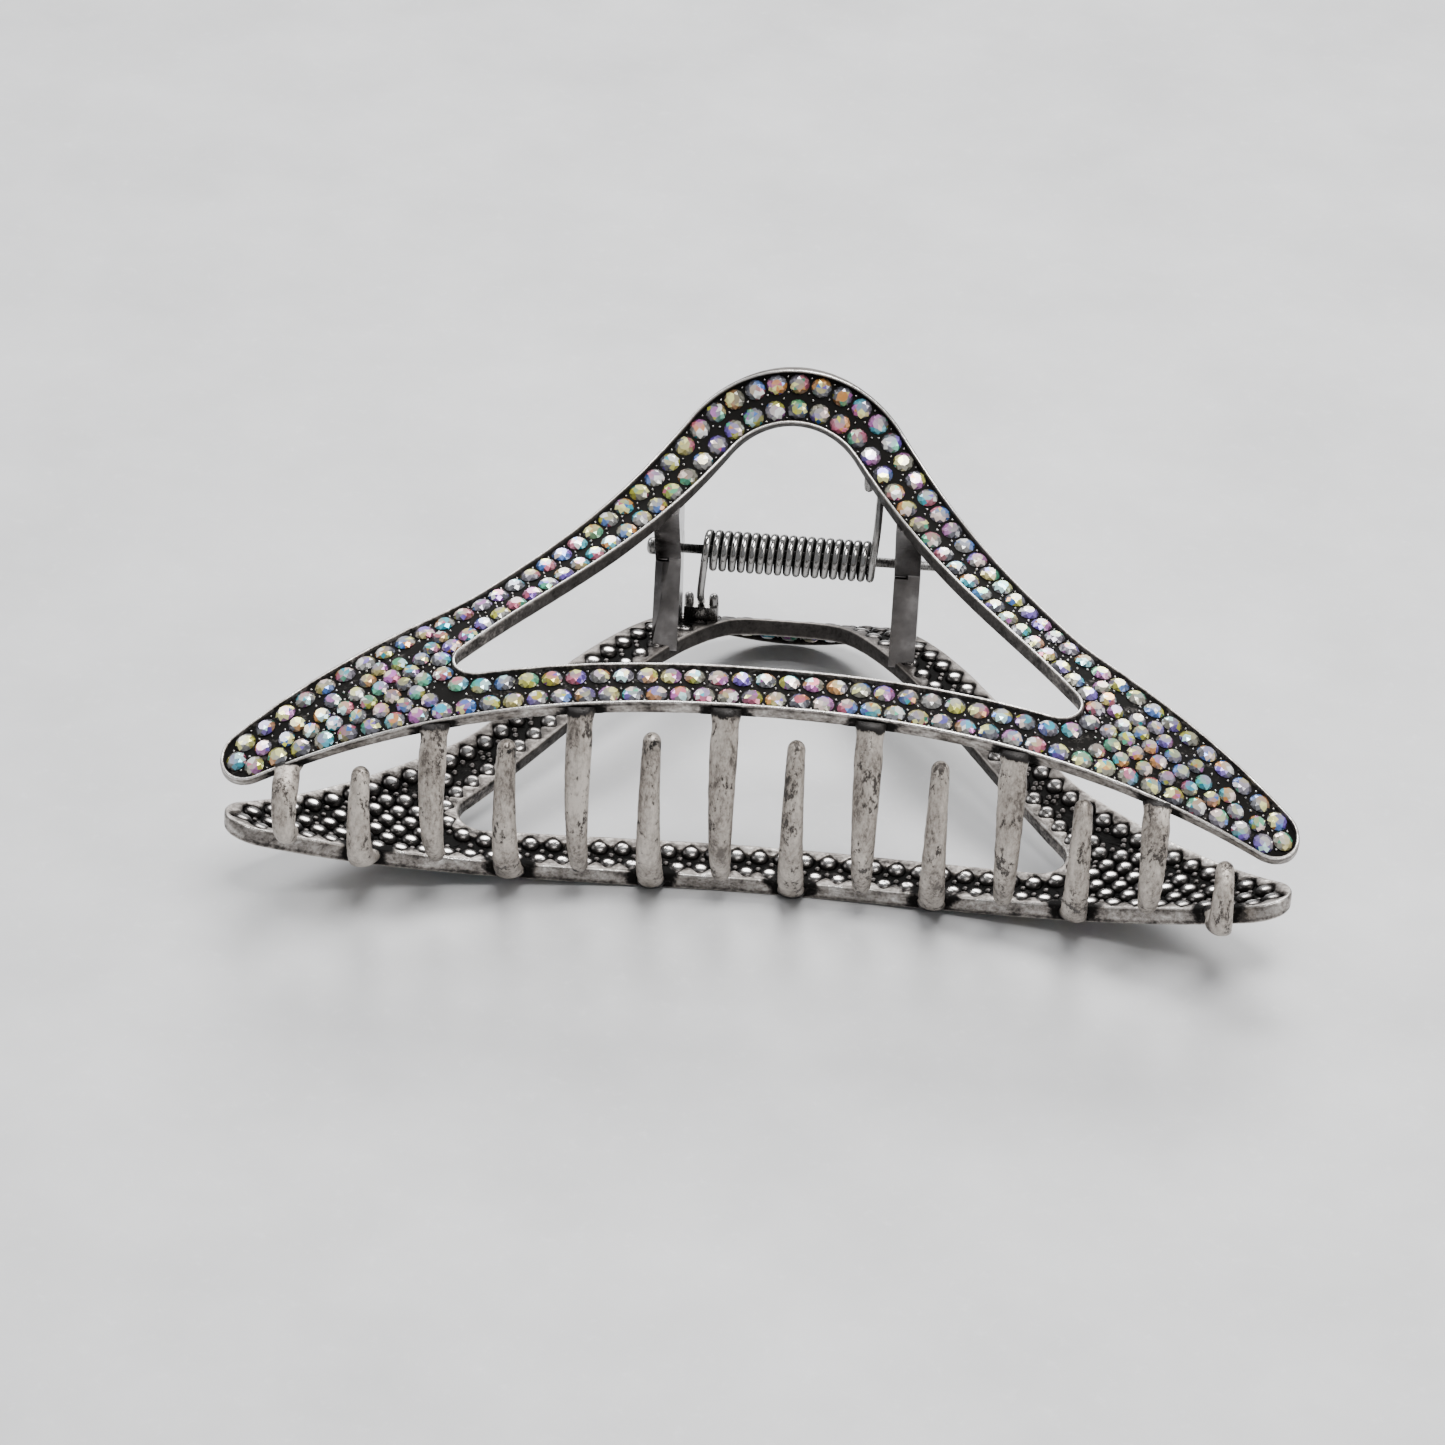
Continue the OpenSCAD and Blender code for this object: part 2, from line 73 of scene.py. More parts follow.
# Curl of a jaw
STAND_OFF = 12.3
FLARE = 62.0
WAIST_LEAN = 9.5
WAIST_DROP = 22.0
BAR_LEAN = 7.93
SWEEP = 7.2
SWEEP_P = 2.6
# Teeth
TEETH = 7
PITCH = 14.0
ROOT_W = 2.9
ROOT_INSET = 0.08
ROOT_IN = 0.3
TIP_D = 1.9
BOW = 3.2
TOOTH_GAP = 1.35
TOOTH_DROP = 2.0
# Stones
STONE_D = 2.1
FILL_D = 1.8
STONE_PITCH = 2.29
RIM_GAP = 0.06
STONE_GAP = 0.02
FILL_GRID = 0.15
GIRDLE_H = 0.1
CROWN_H = 0.42
TABLE_D = 1.15
STONE_SET = 0.15
# Hinge and spring
PIN_D = 1.0
LUG_X = 12.4
LUG_W = 2.7
KNUCKLE_GAP = 0.12
HEAD_D = 1.8
HEAD_LEN = 1.0
TAIL = 2.0
WIRE_D = 0.8
COIL_D = 4.4
COIL_LEN = 18.1
COIL_PITCH = 0.98
CATCH_RISE = 1.5
CATCH_FOOT = 2.6
LEG_GAP = 0.2

HINGE = Vector(frame["joints"][0]["pos_m"])
JAWS = {"front": 1, "back": -1}

# ---------------------------------------------------------------- flat pattern of a jaw: x across, s along


def facing(turn):
    """Unit direction in the flat pattern; 0 is up, clockwise positive, in degrees."""
    return np.array([math.sin(math.radians(turn)), math.cos(math.radians(turn))])


def downhill(slope):
    return np.array([math.cos(math.radians(slope)), -math.sin(math.radians(slope))])


half = SPAN / 2
apex_c = np.array([0, HANDLE_RISE - APEX_R])
arch_c = np.array([0, -BAR_DROP - ARCH_R])
elbow = np.array([ELBOW_X, ELBOW_RISE - BAR_DROP])
tip_cx = half - TIP_R
tip_c = np.array([tip_cx, arch_c[1] + math.sqrt((ARCH_R + TIP_R) ** 2 - tip_cx ** 2)])


def edge_slope(centre, r, side):
    d = side * (elbow - centre)
    return math.degrees(math.atan2(-d[1], d[0]) + side * math.asin(r / np.linalg.norm(d)))


arm_slope = edge_slope(apex_c, APEX_R, 1)
wing_slope = edge_slope(tip_c, TIP_R, -1)
elbow_run = ELBOW_R * math.tan(math.radians((arm_slope - wing_slope) / 2))
elbow_c = elbow - elbow_run * downhill(arm_slope) + ELBOW_R * facing(arm_slope)
corner_foot = apex_c + (APEX_R - BAND_W - CORNER_R) * facing(arm_slope)
_d = corner_foot - arch_c
_b = _d @ downhill(arm_slope)
corner_c = corner_foot + downhill(arm_slope) * (
    -_b - math.sqrt(_b * _b - _d @ _d + (ARCH_R + BAND_W + CORNER_R) ** 2))
corner_turn = math.degrees(math.atan2(corner_c[0] - arch_c[0], corner_c[1] - arch_c[1]))
tip_turn = math.degrees(math.atan2(tip_c[0] - arch_c[0], tip_c[1] - arch_c[1]))
arm_len = np.linalg.norm(elbow - apex_c - APEX_R * facing(arm_slope)) - elbow_run


def arc(centre, r, a, b, n):
    return np.array([centre + r * facing(a + (b - a) * i / n) for i in range(n + 1)])


def line(a, b, n):
    return np.array([a + (b - a) * i / n for i in range(n + 1)])


def joined(*paths):
    return np.vstack([paths[0]] + [p[1:] for p in paths[1:]])


def full_loop(path):
    return np.vstack([path, path[-2:0:-1] * [-1, 1]])


# The CAD's steps along each stretch of the two edges, and the part of the arm whose edges lie squarely
APEX_STEPS, ARM_STEPS, ELBOW_STEPS, WING_STEPS, TIP_STEPS, ARCH_STEPS, BAR_STEPS = 6, 6, 2, 4, 5, 4, 8
CORNER_STEPS = (1 + ELBOW_STEPS + WING_STEPS + TIP_STEPS + ARCH_STEPS) // 2
ARM_SHARE = 0.8


def outside(inset, k):
    """Outside edge moved in by inset; k multiplies the CAD's steps."""
    a0 = apex_c + (APEX_R - inset) * facing(arm_slope)
    a1 = a0 + ARM_SHARE * arm_len * downhill(arm_slope)
    e = ELBOW_R + inset
    return full_loop(joined(
        arc(apex_c, APEX_R - inset, 0, arm_slope, APEX_STEPS * k),
        line(a0, a1, ARM_STEPS * k),
        line(a1, elbow_c - e * facing(arm_slope), k),
        arc(elbow_c, -e, arm_slope, wing_slope, ELBOW_STEPS * k),
        line(elbow_c - e * facing(wing_slope), tip_c + (TIP_R - inset) * facing(wing_slope), WING_STEPS * k),
        arc(tip_c, TIP_R - inset, wing_slope, 180 + tip_turn, TIP_STEPS * k),
        arc(arch_c, ARCH_R + inset, tip_turn, corner_turn, ARCH_STEPS * k),
        arc(arch_c, ARCH_R + inset, corner_turn, 0, BAR_STEPS * k)))


def opening(inset, k):
    """Edge of the triangular opening moved into the metal by inset."""
    r = APEX_R - BAND_W + inset
    a0 = apex_c + r * facing(arm_slope)
    a1 = a0 + ARM_SHARE * arm_len * downhill(arm_slope)
    return full_loop(joined(
        arc(apex_c, r, 0, arm_slope, APEX_STEPS * k),
        line(a0, a1, ARM_STEPS * k),
        line(a1, corner_c + (CORNER_R + inset) * facing(arm_slope), CORNER_STEPS * k),
        arc(corner_c, CORNER_R + inset, arm_slope, 180 + corner_turn, CORNER_STEPS * k),
        arc(arch_c, ARCH_R + BAND_W - inset, corner_turn, 0, BAR_STEPS * k)))


# ---------------------------------------------------------------- curl of a jaw

S = np.linspace(-70, 16, 1721)


def lean(s):
    """Outward lean of the casting at s, in radians."""
    below = (BAR_LEAN + WAIST_LEAN) * ((s + WAIST_DROP) / (BAR_DROP - WAIST_DROP)) ** 2
    above = (FLARE + WAIST_LEAN) * ((s + WAIST_DROP) / (HANDLE_RISE + WAIST_DROP)) ** 2
    return np.radians(np.where(s > -WAIST_DROP, above, below) - WAIST_LEAN)


def summed(f):
    mid = f((S[1:] + S[:-1]) / 2) * np.diff(S)
    total = np.concatenate([[0], np.cumsum(mid)])
    return total - np.interp(0, S, total)


CURL_Y = summed(lambda s: np.cos(lean(s)))
CURL_Z = summed(lambda s: np.sin(lean(s)))


def curled(p, depth):
    """Points of the flat pattern, at a depth in from the outer face, in the clip's own frame, in mm."""
    p = np.atleast_2d(p)
    tilt = lean(p[:, 1])
    back = SWEEP * (np.abs(p[:, 0]) / half) ** SWEEP_P
    return np.stack([
        p[:, 0],
        np.interp(p[:, 1], S, CURL_Y) + depth * np.sin(tilt),
        np.interp(p[:, 1], S, CURL_Z) + STAND_OFF - back - depth * np.cos(tilt)], 1)


_top, _bar = curled([0, HANDLE_RISE], 0)[0], curled([0, -BAR_DROP], 0)[0]
LIE = math.atan2(_top[2] - _bar[2], _top[1] - _bar[1])


def laid(points, side):
    """Clip-frame points in mm, on the front jaw (1) or the back jaw (-1), in the row frame in metres."""
    q = np.array(points, float) * [side, 1, side]
    y = q[:, 1] * math.cos(LIE) - q[:, 2] * math.sin(LIE)
    z = q[:, 1] * math.sin(LIE) + q[:, 2] * math.cos(LIE)
    return np.stack([q[:, 0], y, z], 1) * 0.001 + np.array(HINGE)


# ---------------------------------------------------------------- mesh helpers


def mesh_piece(name, points, faces, body, mat, smooth=True, attrs=None):
    """A mesh object in the row frame that rides on a body, if one is given. attrs are point attributes."""
    mesh = bpy.data.meshes.new(name)
    mesh.from_pydata([tuple(p) for p in points], [], faces)
    mesh.validate()
    if smooth:
        mesh.shade_smooth()
    for key, values in (attrs or {}).items():
        layer = mesh.attributes.new(key, "FLOAT", "POINT")
        layer.data.foreach_set("value", np.array(values, np.float32))
    mesh.materials.append(mat)
    piece = bpy.data.objects.new(name, mesh)
    bpy.context.scene.collection.objects.link(piece)
    if body:
        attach(piece, body)
    return piece


def tube_faces(rings, sides, closed_ends=True, looped=False):
    """Quads between successive rings of points, with end caps or joined end to end."""
    faces = []
    for i in range(rings if looped else rings - 1):
        for j in range(sides):
            a, b = i * sides + j, i * sides + (j + 1) % sides
            c, d = ((i + 1) % rings) * sides + (j + 1) % sides, ((i + 1) % rings) * sides + j
            faces.append((a, b, c, d))
    if closed_ends and not looped:
        faces.append(tuple(range(sides))[::-1])
        faces.append(tuple((rings - 1) * sides + j for j in range(sides)))
    return faces


def outward_faces(points, faces):
    """Faces turned so that a closed piece's volume is positive."""
    p = np.array(points)
    total = 0.0
    for f in faces:
        for i in range(1, len(f) - 1):
            total += np.dot(p[f[0]], np.cross(p[f[i]], p[f[i + 1]]))
    return faces if total > 0 else [f[::-1] for f in faces]


def smooth_step(a, b, x):
    t = np.clip((x - a) / (b - a), 0, 1)
    return t * t * (3 - 2 * t)


# ---------------------------------------------------------------- materials


class Nodes:
    """A few shorthand calls for building a material's node tree."""

    def __init__(self, name):
        self.mat = bpy.data.materials.new(name)
        self.mat.use_nodes = True
        self.tree = self.mat.node_tree
        self.shader = self.tree.nodes["Principled BSDF"]
        self.place = self.tree.nodes.new("ShaderNodeTexCoord").outputs["Object"]

    def set(self, **values):
        for key, value in values.items():
            socket = self.shader.inputs[key.replace("_", " ")]
            if isinstance(value, bpy.types.NodeSocket):
                self.tree.links.new(value, socket)
            else:
                socket.default_value = (*value, 1) if isinstance(value, tuple) else value
        return self

    def noise(self, scale, detail=4, rough=0.6, stretch=None):
        """Noise with a feature size in mm."""
        n = self.tree.nodes.new("ShaderNodeTexNoise")
        place = self.place
        if stretch:
            m = self.tree.nodes.new("ShaderNodeMapping")
            m.inputs["Scale"].default_value = stretch
            self.tree.links.new(place, m.inputs["Vector"])
            place = m.outputs["Vector"]
        self.tree.links.new(place, n.inputs["Vector"])
        n.inputs["Scale"].default_value = 1000 / scale
        n.inputs["Detail"].default_value = detail
        n.inputs["Roughness"].default_value = rough
        return n.outputs["Fac"]

    def attr(self, name, colour=False):
        n = self.tree.nodes.new("ShaderNodeAttribute")
        n.attribute_name = name
        return n.outputs["Color" if colour else "Fac"]

    def ramp(self, fac, *stops):
        """Grey or colour ramp; stops are (position, value) pairs."""
        n = self.tree.nodes.new("ShaderNodeValToRGB")
        self.tree.links.new(fac, n.inputs["Fac"])
        while len(n.color_ramp.elements) < len(stops):
            n.color_ramp.elements.new(0.5)
        for e, (at, value) in zip(n.color_ramp.elements, stops):
            e.position = at
            e.color = (*value, 1) if isinstance(value, tuple) else (value, value, value, 1)
        return n.outputs["Color"]

    def math(self, op, a, b=None):
        n = self.tree.nodes.new("ShaderNodeMath")
        n.operation = op
        for socket, value in zip(n.inputs, (a, b)):
            if isinstance(value, bpy.types.NodeSocket):
                self.tree.links.new(value, socket)
            elif value is not None:
                socket.default_value = value
        return n.outputs[0]

    def mix(self, fac, a, b):
        n = self.tree.nodes.new("ShaderNodeMix")
        n.data_type = "RGBA"
        for key, value in (("Factor_Float", fac), ("A_Color", a), ("B_Color", b)):
            socket = next(i for i in n.inputs if i.identifier == key)
            if isinstance(value, bpy.types.NodeSocket):
                self.tree.links.new(value, socket)
            else:
                socket.default_value = value if key == "Factor_Float" else (*value, 1)
        return next(o for o in n.outputs if o.identifier == "Result_Color")

    def bump(self, height, strength, distance_mm):
        n = self.tree.nodes.new("ShaderNodeBump")
        self.tree.links.new(height, n.inputs["Height"])
        n.inputs["Strength"].default_value = strength
        n.inputs["Distance"].default_value = distance_mm * 0.001
        self.tree.links.new(n.outputs["Normal"], self.shader.inputs["Normal"])
        return self


def antique_silver():
    """Cast silver plate, bright where the wear attribute is high and black where it is low. The calm
    attribute smooths the mottling, as on the handle and the arms."""
    m = Nodes("antique_silver")
    blotch = m.noise(1.3, 5, 0.72, (0.55, 1, 1))
    fine = m.noise(0.4, 4, 0.7)
    soft = m.math("ADD", m.math("MULTIPLY", blotch, 0.62), m.math("MULTIPLY", fine, 0.38))
    spread = m.math("SUBTRACT", 2.2, m.math("MULTIPLY", m.attr("calm"), 1.5))
    worn = m.math("ADD", m.attr("wear"), m.math("MULTIPLY", m.math("SUBTRACT", soft, 0.5), spread))
    colour = m.ramp(worn, (0.10, (0.006, 0.0055, 0.005)), (0.36, (0.055, 0.048, 0.044)),
                    (0.60, (0.27, 0.245, 0.225)), (0.78, (0.46, 0.43, 0.40)), (1.0, (0.76, 0.74, 0.71)))
    m.set(Base_Color=colour, Metallic=m.ramp(worn, (0.2, 0.0), (0.5, 0.88)),
          Roughness=m.ramp(worn, (0.12, 0.75), (0.4, 0.42), (0.7, 0.46), (1.0, 0.24)),
          Specular_IOR_Level=m.ramp(worn, (0.15, 0.08), (0.5, 0.5)))
    m.bump(soft, 0.5, 0.12)
    return m.mat


def tooth_silver():
    """Matt warm-grey plate, streaked along the tooth, with dark pits and blotches; near black at the root and
    on some tips.
    """
    m = Nodes("tooth_silver")
    blotch = m.noise(1.9, 6, 0.76, (1, 0.7, 0.42))
    fine = m.noise(0.35, 5, 0.75, (1, 1, 0.5))
    mixed = m.math("ADD", m.math("MULTIPLY", blotch, 0.68), m.math("MULTIPLY", fine, 0.32))
    pits = m.ramp(mixed, (0.42, 0.0), (0.46, 1.0))
    streak = m.math("ADD", m.math("MULTIPLY", m.noise(2.2, 4, 0.65, (1, 1, 0.22)), 0.55),
                    m.math("MULTIPLY", fine, 0.45))
    bright = m.ramp(streak, (0.40, (0.12, 0.102, 0.088)), (0.48, (0.36, 0.318, 0.278)),
                    (0.60, (0.60, 0.545, 0.485)))
    worn = m.mix(pits, (0.06, 0.051, 0.045), bright)
    ragged = m.math("ADD", m.attr("darkening"), m.math("MULTIPLY", m.math("SUBTRACT", mixed, 0.5), 2.6))
    colour = m.mix(m.ramp(ragged, (0.34, 0.0), (0.5, 1.0)), worn, (0.012, 0.010, 0.009))
    m.set(Base_Color=colour, Metallic=0.5, Roughness=0.42)
    m.bump(m.math("ADD", pits, fine), 0.6, 0.1)
    return m.mat


def dark_gloss(name, low, high, rough):
    """Smooth plate with hardly any texture, such as the lands between the domes."""
    m = Nodes(name)
    cloud = m.noise(1.4, 4, 0.65)
    m.set(Base_Color=m.ramp(cloud, (0.32, low), (0.68, high)), Metallic=1.0,
          Roughness=m.ramp(cloud, (0.3, rough), (0.7, rough * 1.7)))
    m.bump(m.noise(0.7, 3), 0.06, 0.08)
    return m.mat


def dome_plate():
    """Domes behind the stones: polished on top, where the top attribute is high, black in the valleys."""
    m = Nodes("dome_plate")
    cloud = m.noise(1.2, 4, 0.65)
    high = m.math("ADD", m.attr("top"), m.math("MULTIPLY", m.math("SUBTRACT", cloud, 0.5), 0.35))
    m.set(Base_Color=m.ramp(high, (0.15, (0.02, 0.018, 0.017)), (0.42, (0.10, 0.092, 0.088)),
                            (0.62, (0.42, 0.40, 0.385)), (0.8, (0.78, 0.76, 0.74))),
          Metallic=1.0, Roughness=m.ramp(high, (0.2, 0.34), (0.7, 0.16)))
    m.bump(m.noise(0.7, 3), 0.05, 0.08)
    return m.mat


def gunmetal():
    """Smooth dark plate of the lugs."""
    m = Nodes("gunmetal")
    cloud = m.noise(3.6, 3, 0.5)
    colour = m.ramp(cloud, (0.3, (0.085, 0.08, 0.078)), (0.55, (0.17, 0.16, 0.157)),
                    (0.75, (0.36, 0.345, 0.34)))
    m.set(Base_Color=colour, Metallic=1.0, Roughness=m.ramp(m.noise(1.4), (0.3, 0.14), (0.7, 0.26)))
    m.bump(m.noise(1.1, 2), 0.10, 0.1)
    return m.mat


def spring_nickel():
    """Polished wire, with painted shade: near black and matt on the sides that face the next turn and on the
    inside of the coil.
    """
    m = Nodes("spring_nickel")
    film = m.noise(1.1, 4, 0.6)
    colour = m.mix(m.attr("painted_shade"), m.ramp(film, (0.3, (0.34, 0.33, 0.32)), (0.7, (0.50, 0.49, 0.475))),
                   (0.006, 0.006, 0.005))
    m.set(Base_Color=colour, Metallic=m.math("SUBTRACT", 1.0, m.attr("painted_shade")),
          Roughness=m.math("ADD", m.math("MULTIPLY", m.attr("painted_shade"), 0.6), 0.13),
          Specular_IOR_Level=0.2)
    m.bump(m.noise(0.3, 3), 0.08, 0.05)
    return m.mat


def pin_steel():
    """Drawn steel of the pin and the catches."""
    m = Nodes("pin_steel")
    draw = m.noise(0.5, 4, 0.6, (6, 1, 1))
    m.set(Base_Color=m.ramp(draw, (0.3, (0.16, 0.155, 0.15)), (0.7, (0.42, 0.41, 0.40))), Metallic=1.0,
          Roughness=m.ramp(draw, (0.3, 0.2), (0.7, 0.38)))
    m.bump(draw, 0.2, 0.05)
    return m.mat


def crystal():
    """Foiled glass: each facet has its own colour, holding painted glints, reflections and shade, and returns
    some of the light as a mirror does.
    """
    m = Nodes("crystal")
    facet_colour_and_light = m.attr("facet_colour_and_light", colour=True)
    cloud = m.noise(0.7, 3, 0.5)
    m.set(Base_Color=m.mix(m.ramp(cloud, (0.5, 0.0), (0.8, 0.18)), facet_colour_and_light, (0.85, 0.85, 0.87)),
          Metallic=0.45, Roughness=0.14, Coat_Weight=0.5, Coat_Roughness=0.03, IOR=1.5)
    return m.mat


def bead_silver():
    """Worn plate of the little beads."""
    m = Nodes("bead_silver")
    shade = m.ramp(m.noise(0.8), (0.35, (0.12, 0.115, 0.11)), (0.65, (0.5, 0.49, 0.47)))
    m.set(Base_Color=shade, Metallic=1.0, Roughness=0.25)
    return m.mat


def stone_floor():
    """Pale speckled table top, slightly glossy."""
    m = Nodes("table_top")
    cloud = m.noise(22, 4, 0.6)
    speck = m.ramp(m.noise(2.2, 5, 0.75), (0.56, 0.0), (0.70, 1.0))
    base = m.ramp(cloud, (0.3, (0.50, 0.50, 0.505)), (0.7, (0.60, 0.60, 0.605)))
    m.set(Base_Color=m.mix(m.math("MULTIPLY", speck, 0.25), base, (0.74, 0.74, 0.745)), Roughness=0.42)
    m.bump(m.noise(1.2, 4), 0.08, 0.05)
    return m.mat


SILVER, TOOTH, GUN, NICKEL, STEEL, CRYSTAL, BEAD = (
    antique_silver(), tooth_silver(), gunmetal(), spring_nickel(), pin_steel(), crystal(), bead_silver())
DOME = dome_plate()
LAND = dark_gloss("lands", (0.035, 0.032, 0.030), (0.11, 0.10, 0.096), 0.26)

# ---------------------------------------------------------------- castings

# Steps per step of the CAD's edges, cuts across the tray, and how far the back's flat rim reaches in
K = 12
FLOOR_CUTS = 10
LOBE_MEAN, LOBE = 1.0, 0.48
# Stretch of the casting, from the bar up, over which its mottling fades
CALM_FROM, CALM_TO = -31, -17


def jaw_section():
    """(edge, inset, depth, wear, lobed) for the casting's section, from the opening's top corner round
    to itself. edge 0 is the opening and 1 the outside; a fraction lies on the floor between them."""
    t = CAST_T
    rim = [(0.30, 0.0, 0.42), (0.12, 0.02, 0.62), (0.02, 0.10, 0.98), (0.0, 0.17, 1.0), (0.03, 0.27, 0.7),
           (0.14, RIM_W - 0.04, 0.25), (TRAY, RIM_W + 0.02, 0.0)]
    out = [(0, inset, depth, wear, 0) for depth, inset, wear in rim]
    out += [((i + 1) / FLOOR_CUTS, RIM_W + 0.02, TRAY, 0.0, 0) for i in range(FLOOR_CUTS - 1)]
    out += [(1, inset, depth, wear, 0) for depth, inset, wear in rim[::-1]]
    wall = [(0.6, 0.0, 0.66), (t * 0.5, 0.0, 0.64), (t - 0.42, 0.0, 0.62), (t - 0.2, 0.03, 0.62),
            (t - 0.05, 0.12, 0.9), (t, 0.26, 0.66)]
    land = [(t, -0.12, 0.56), (t - 0.06, -0.02, 0.50), (t - BACK_DEPTH, 0.06, 0.02)]
    out += [(1, inset, depth, wear, 0) for depth, inset, wear in wall]
    out += [(1, inset, depth, wear, 1) for depth, inset, wear in land]
    out += [(1 - (i + 1) / FLOOR_CUTS, 0.06, t - BACK_DEPTH, 0.02, 1) for i in range(FLOOR_CUTS - 1)]
    out += [(0, inset, depth, wear, 1) for depth, inset, wear in land[::-1]]
    for depth, inset, wear in wall[::-1]:
        out.append((0, inset, depth, wear * (0.62 if depth < t - 0.1 else 0.9), 0))
    return out


def lobes(path, row):
    """How far in the back's flat rim reaches along a path: it stands out between the row's stones."""
    d = np.sort(np.linalg.norm(path[:, None, :] - row[None, :, :], axis=2), axis=1)
    share = np.clip(d[:, 0] / (d[:, 0] + d[:, 1]) * 2, 0, 1)
    return LOBE_MEAN - LOBE * np.cos(math.pi * share)


def tooth_x(k):
    return (k - (TEETH - 1) / 2) * PITCH - PITCH / 4


def bar_edge(x, up):
    return np.array([x, arch_c[1] + math.sqrt((ARCH_R + up) ** 2 - x * x)])


def casting(jaw):
    """One jaw: rounded rims, tray for the stones and hollow back, with a slightly uneven cast surface."""
    loops = {}
    inset = RIM_W + RIM_GAP + STONE_D / 2
    reach = [lobes(opening(inset, K), OPENING_ROW), lobes(outside(inset, K), EDGE_ROW)]

    def ring(edge, inset, lobed):
        key = (edge, inset, lobed)
        if key not in loops:
            edge_at = outside if edge else opening
            flat = edge_at(inset, K)
            if lobed:
                deep = edge_at(inset + 2, K)
                flat = flat + (deep - flat) * reach[edge][:, None] / 2
            loops[key] = flat
        return loops[key]

    columns, wear, calm = [], [], []
    roots = np.array([bar_edge(tooth_x(k), 0) for k in range(TEETH)])
    for edge, inset, depth, shine, lobed in jaw_section():
        flat = ring(0, inset, lobed) * (1 - edge) + ring(1, inset, lobed) * edge
        columns.append(curled(flat, depth))
        near = np.min(np.linalg.norm((flat[:, None, :] - roots[None, :, :]) * [1, 0.5], axis=2), axis=1)
        ragged = np.array([noise.noise(Vector((x * 1.3, y * 1.3, depth * 1.5))) for x, y in flat])
        # Near black on the outside wall around each tooth's root.
        darkening = 1 - smooth_step(1.7, 2.5, near + 0.8 * ragged - 0.25 * depth)
        on_wall = edge == 1 and inset < 0.5 and 0.12 < depth
        still = smooth_step(CALM_FROM, CALM_TO, flat[:, 1])
        calm.append(still)
        wear.append((shine - 0.16 * still * (0.3 < shine < 0.9)) * (1 - 0.95 * darkening * on_wall))
    sides, rings = len(columns), len(columns[0])
    points = np.stack(columns, 1).reshape(-1, 3)
    rough = np.array([noise.noise(Vector(p) * 0.55) + 0.6 * noise.noise(Vector(p) * 1.7) for p in points])
    wear, calm = np.stack(wear, 1).reshape(-1), np.stack(calm, 1).reshape(-1)
    centre = points.reshape(rings, sides, 3).mean(1).repeat(sides, 0)
    away = points - centre
    away /= np.linalg.norm(away, axis=1)[:, None] + 1e-9
    metal = (wear > 0.3)[:, None]
    points = points - away * 0.025 * (rough[:, None] + 1.2) * metal
    faces = outward_faces(points, tube_faces(rings, sides, looped=True))
    piece = mesh_piece(jaw + "_casting", laid(points, JAWS[jaw]), faces, jaw + "_jaw", SILVER,
                       attrs={"wear": wear, "calm": calm})
    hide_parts(jaw + "_frame")


# ---------------------------------------------------------------- stones


def spaced(path, pitch):
    closed = np.vstack([path, path[:1]])
    d = np.concatenate([[0], np.cumsum(np.linalg.norm(np.diff(closed, axis=0), axis=1))])
    n = int(d[-1] // pitch)
    at = np.arange(n) * d[-1] / n
    return np.stack([np.interp(at, d, closed[:, 0]), np.interp(at, d, closed[:, 1])], 1)


def wing_sites(rows):
    """Stones that fill the right wing: a fine grid's places, each taken when it is clear of the others."""
    inset = RIM_W + RIM_GAP + FILL_D / 2
    row_reach = (STONE_D + FILL_D) / 2 + STONE_GAP
    rows = np.array([p for p in rows if p[0] > ELBOW_X - BAND_W - row_reach])
    fresh = []
    for up in np.arange(inset, ELBOW_RISE + 1e-6, FILL_GRID):
        for run in np.arange(ELBOW_X - BAND_W, tip_c[0] + 1e-6, FILL_GRID):
            p = arch_c + (ARCH_R + up) * facing(math.degrees(run / ARCH_R))
            if ((elbow - p) @ facing(wing_slope) > inset and (p[0] > corner_c[0] or up < BAND_W)
                    and np.linalg.norm(p - corner_c) - CORNER_R > inset
                    and np.min(np.linalg.norm(rows - p, axis=1)) >= row_reach
                    and all(np.linalg.norm(p - q) >= FILL_D + STONE_GAP for q in fresh)):
                fresh.append(p)
    return fresh


_inset = RIM_W + RIM_GAP + STONE_D / 2
EDGE_ROW = spaced(outside(_inset, 1), STONE_PITCH)
OPENING_ROW = spaced(opening(_inset, 1), STONE_PITCH)
WING = wing_sites(np.vstack([EDGE_ROW, OPENING_ROW]))
SITES = {
    "edge_row": EDGE_ROW, "opening_row": OPENING_ROW,
    "right_wing": np.array(WING), "left_wing": np.array(WING) * [-1, 1]}
ALL_SITES = np.vstack(list(SITES.values()))


def facing_frame(p, side):
    """Origin on the tray's floor and three axes of the surface at a flat point, in the row frame."""
    o, x, s, n = laid(np.vstack([
        curled(p, TRAY), curled(p + np.array([0.05, 0]), TRAY), curled(p + np.array([0, 0.05]), TRAY),
        curled(p, TRAY - 0.05)]), side)
    ex = (x - o) / np.linalg.norm(x - o)
    en = np.cross(ex, s - o)
    en /= np.linalg.norm(en)
    if en @ (n - o) < 0:
        en = -en
    return o, ex, np.cross(en, ex), en
